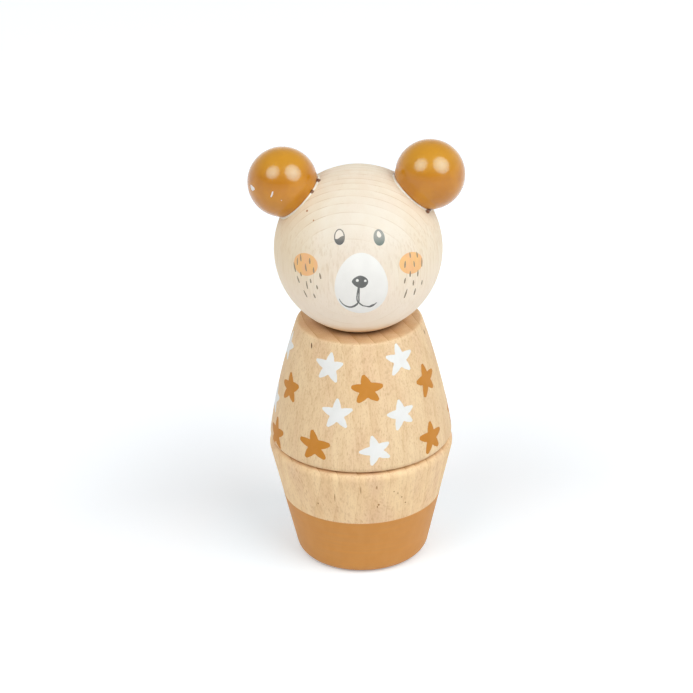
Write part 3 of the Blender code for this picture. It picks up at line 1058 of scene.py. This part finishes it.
MUZZLE = on_head(1.4, -0.7)
painted("muzzle", [(MUZZLE, oval(0, -0.9, 7.78, 9.95, 0, 0.1, 72))], muzzle_white)
NOSE = [
    (-0.4, 2.4), (0.7, 2.1), (1.6, 1.4), (1.95, 0.5), (1.7, -0.4), (1, -1.2), (0, -1.5),
    (-1.2, -1.2), (-1.95, -0.65), (-2.5, 0), (-2.75, 0.6), (-2.3, 1.4), (-1.4, 2.05),
]
painted("nose", [(MUZZLE, closed_curve(NOSE))], grey_print, 2)
lights = [(MUZZLE, oval(-1.17, 0.95, 0.5, 0.5)), (MUZZLE, oval(1.1, 0.75, 0.42, 0.42))]
painted("nose_lights", lights, muzzle_white, 3, FINEST_GRID)
MOUTH = [
    [(-0.78, -1.2, 0.6), (-0.85, -2.1, 0.6), (-0.92, -3.2, 0.7)],
    [(-0.92, -1.5, 0.36), (-1.12, -2.9, 0.42), (-1.34, -4.6, 0.42), (-1.26, -5.75, 0.42),
     (-0.96, -6.55, 0.36)],
    [(-0.66, -1.5, 0.36), (-0.7, -2.9, 0.38), (-0.78, -4.6, 0.38), (-0.76, -5.75, 0.38),
     (-0.86, -6.55, 0.36)],
    [(-0.93, -6.4, 0.4), (-1.5, -7.3, 0.62), (-2.4, -8.05, 0.7), (-3.4, -8.35, 0.62),
     (-4.5, -8.05, 0.5), (-5.5, -7.3, 0.38), (-6.25, -6.2, 0.26), (-6.5, -5.45, 0.15)],
    [(-0.9, -6.4, 0.34), (-0.37, -7.1, 0.46), (0.4, -7.75, 0.44), (1.3, -8.05, 0.38),
     (2.3, -8.3, 0.6), (3.1, -7.95, 0.85), (3.85, -7.5, 0.45), (4.45, -6.95, 0.22)],
]
strokes = [(MUZZLE, stroke(points)) for points in MOUTH]
painted("mouth", strokes, grey_print, 2, FINE_GRID)

# Eyes: a ring with a dark lower part on the left, a soft grey drop on the right
LEFT_EYE = on_head(-14.6, 30.1)
RIGHT_EYE = on_head(15.7, 29.2)
left_white = [(LEFT_EYE, oval(0, 0, 1.45, 2.15, -8))]
painted("eye_left_white", left_white, eye_wash, 0.5)
left_ring = [(LEFT_EYE, oval(0, 0, 1.59, 2.33, -8, 0.05), oval(0, 0.02, 1.25, 1.98, -8, 0.05))]
FILL = [
    (-1.4, -0.6), (-0.9, -0.7), (-0.4, -0.6), (0.4, 0.08), (1, 0.35), (1.45, 0.5), (1.55, -0.4),
    (1.3, -1.45), (0.4, -2.2), (-0.5, -1.95), (-1.2, -1.2),
]
left_fill = [(LEFT_EYE, closed_curve(FILL))]
left_dark = eye_material("eye_left_grey", (130, 118, 106), (97, 90, 87), 111, 112.6)
painted("eye_left_ring", left_ring, left_dark, 1, FINE_GRID)
painted("eye_left_fill", left_fill, left_dark, 1.2, FINE_GRID)
right_grey = eye_material("eye_right_grey", (154, 147, 137), (104, 110, 101), 109.8, 113)
right_drop = [(RIGHT_EYE, oval(0, 0, 1.65, 2.38, 2, 0.06))]
painted("eye_right", right_drop, right_grey, 1, FINE_GRID)
drop = [(RIGHT_EYE, oval(0.05, 0.85, 0.68, 1, -8, 0.1))]
painted("eye_right_light", drop, eye_wash, 1.6, FINE_GRID)

# Cheeks
left_cheek = [(on_head(-38.1, 7.7), oval(-0.33, 0.03, 4.45, 3.37, -12))]
right_cheek = [(on_head(37.5, 7.5), oval(0.25, 0.08, 4.4, 3.23, 14))]
painted("cheeks", left_cheek + right_cheek, cheek_print, 0.6)

# Short dashes over the cheeks as azimuth, latitude and length. Their least and greatest width, the
# width at their top, its share at their foot, and their sway in degrees
DASH_WIDTHS = (0.42, 0.58)
DASH_TOP = 0.15
DASH_FOOT = 0.6
DASH_SWAY = 8
LEFT_DASHES = [
    (-48.1, 3.5, 2.7), (-45.7, 8.2, 2.1), (-43, 11.4, 2), (-35.1, 11.1, 1.7), (-38, 6, 2.2),
    (-31.6, 5.5, 1.7), (-42.1, 0.2, 1.3), (-45, -4.5, 2), (-26.6, 2.4, 1.7), (-34.1, -2.7, 1.3),
    (-37.5, -6.6, 2.5), (-29.3, -6.3, 1.3), (-40.2, -14.3, 2.3), (-32.4, -13.9, 1.5),
]
RIGHT_DASHES = [
    (37.4, 13.5, 1.6), (43.5, 12, 1.7), (32.4, 8.2, 2), (39.9, 6.6, 1.8), (47.1, 5.6, 2.6),
    (36.2, 0.6, 1.8), (42.9, -0.9, 2), (31.9, -3.2, 1.7), (39.2, -6.9, 1.8), (47.7, -9.4, 1.6),
    (33.6, -13.7, 3.1), (41.8, -14.7, 2.3),
]


def dash_parts(dashes, lean, seed):
    chance = random.Random(seed)
    parts = []
    for azimuth, latitude, length in dashes:
        width = chance.uniform(*DASH_WIDTHS)
        slant = length / 2 * math.tan(math.radians(lean + chance.uniform(-DASH_SWAY, DASH_SWAY)))
        line = [(-slant, length / 2, DASH_TOP), (0, 0, width), (slant, -length / 2, width * DASH_FOOT)]
        parts.append((on_head(azimuth, latitude), stroke(line)))
    return parts


dashes = dash_parts(LEFT_DASHES, 12, 2) + dash_parts(RIGHT_DASHES, -3, 3)
dash_print = paint_material("dash_print", (150, 132, 110), (166, 148, 124), 0.6)
painted("dashes", dashes, dash_print, 2, FINE_GRID)

# Chips in the left ear's lacquer
CHIPS = [
    (-58, 2, [(-1, 0.7), (0.2, 0.75), (1.5, 0.2), (0.8, -0.5), (0, -0.8), (-0.6, -0.3)]),
    (-16, 0.4, [(0.1, 0.9), (0.4, 0.8), (0.2, -0.1), (-0.15, -0.85), (-0.5, -0.8), (-0.2, 0.1)]),
    (-1.1, -10, [(-0.15, 0.1), (0.05, 0.14), (0.14, -0.08), (0, -0.12)]),
]
chips = []
for azimuth, latitude, points in CHIPS:
    surface = ball_surface(LEFT_EAR_CENTRE, EAR_RADIUS, azimuth, latitude)
    chips.append((surface, closed_curve(points, FEW_STEPS)))
chip_paint = paint_material("chip_primer", (236, 228, 220), (244, 240, 236), 0.6)
painted("ear_chips", chips, chip_paint, 0.5, FINE_GRID)

# Floor: a glow that is only seen makes it white, and leaves the shadow. It lifts from one distance
# to another in millimetres, and once more far out. Near the foot the floor has its own tone
FLOOR_HALF = 3
FLOOR_WHITE = (0.886, 0.9, 0.912, 1)
FLOOR_MOTTLE = (0.896, 0.91, 0.922, 1)
FLOOR_NEAR = (0.868, 0.945, 0.994, 1)
FLOOR_GLOW = (0.93, 1, 1.07, 1)
MOTTLE_SCALE = 0.004
NEAR_SPAN = (60, 26)
LIFT_SPAN = (70, 160, 0.235, 0.34)
EDGE_SPAN = (600, 2000, 0, 0.3)


def floor_material(name):
    shade = Shade(name)
    tone = shade.mix(shade.noise(shade.place, MOTTLE_SCALE, 1), FLOOR_WHITE, FLOOR_MOTTLE)
    away = shade.vector("LENGTH", shade.place)
    tone = shade.mix(shade.span(away, *NEAR_SPAN), tone, FLOOR_NEAR)
    lift = shade.math("ADD", shade.span(away, *LIFT_SPAN), shade.span(away, *EDGE_SPAN))
    glow = dict(Emission_Color=FLOOR_GLOW, Emission_Strength=shade.times(shade.seen(), lift))
    return shade.finish(tone, 1, **glow, Specular_IOR_Level=0)


corners = [(x * FLOOR_HALF, y * FLOOR_HALF, 0) for x, y in ((-1, -1), (1, -1), (1, 1), (-1, 1))]
floor = mesh_object("floor", corners, [(0, 1, 2, 3)], SMOOTH_ANGLE)
floor.data.materials.append(floor_material("studio_floor"))

# World: a dim room with a brighter backdrop behind the object, white where the horizon is seen.
# Each span is of a direction's part, backwards for the backdrop's side and upwards for the tops
ROOM = 0.34
BACKDROP = 0.7
BACKDROP_SPAN = (-0.1, 0.35)
BACKDROP_TOP = (0.3, 0.7)
WHITE_TOP = (0.15, 0.25)
world = bpy.data.worlds.new("studio")
scene.world = world
world.use_nodes = True
sky = Graph(world.node_tree)
_, back, up = sky.parts(sky.node("TexCoord").outputs["Generated"])
backdrop = sky.span(back, *BACKDROP_SPAN, 0, BACKDROP - ROOM)
room = sky.math("MULTIPLY_ADD", backdrop, sky.span(up, *BACKDROP_TOP, 1, 0), ROOM)
white = sky.times(sky.seen(), sky.span(up, *WHITE_TOP, 1, 0))
strength = sky.math("MULTIPLY_ADD", white, sky.math("SUBTRACT", 1, room), room)
background = sky.tree.nodes["Background"].inputs
sky.put(background["Color"], (1, 1, 1, 1))
sky.put(background["Strength"], strength)

# Lamps: on each side of the camera a wide one for the light and a smaller, cooler one for the gloss
GLOSS_COLOUR = (0.52, 0.93, 1.05)


def softbox(name, azimuth, elevation, distance, size, radiance, spread=180, glossy=False):
    """A round lamp. Angles in degrees, distance and size in metres."""
    light = bpy.data.lights.new(name, "AREA")
    light.shape = "DISK"
    light.size = size
    light.energy = radiance * math.pi * size**2
    light.spread = math.radians(spread)
    if glossy:
        light.color = GLOSS_COLOUR
    lamp = add_object(name, light)
    out = towards(azimuth, elevation)
    lamp.location = HEAD_CENTRE + out * distance
    lamp.rotation_euler = out.to_track_quat("Z", "Y").to_euler()
    lamp.visible_diffuse = not glossy
    lamp.visible_glossy = glossy


softbox("softbox_left", -46, 47, 2, 1.5, 1.93)
softbox("softbox_right", 51, 43, 2, 1.95, 2.05)
softbox("gloss_left", -46, 47, 1.8, 1.4, 0.73, 68, True)
softbox("gloss_right", 51, 43, 1.8, 1.8, 1.2, 78, True)

# Camera, which sees from 0.05 to 20 metres
CAMERA_PLACE = Vector((-0.00399, -0.65358, 0.38023))
CAMERA_ELEVATION = math.radians(25.553)
CAMERA_ROLL = math.radians(-1.029)
optics = bpy.data.cameras.new("camera")
optics.lens = 124.675
optics.sensor_width = 36
optics.clip_start = 0.05
optics.clip_end = 20
camera = add_object("camera", optics)
turn = Matrix.Rotation(math.pi / 2 - CAMERA_ELEVATION, 4, "X") @ Matrix.Rotation(CAMERA_ROLL, 4, "Z")
camera.matrix_world = Matrix.Translation(CAMERA_PLACE) @ turn
scene.camera = camera
scene.view_settings.view_transform = "Standard"

bpy.context.view_layer.update()
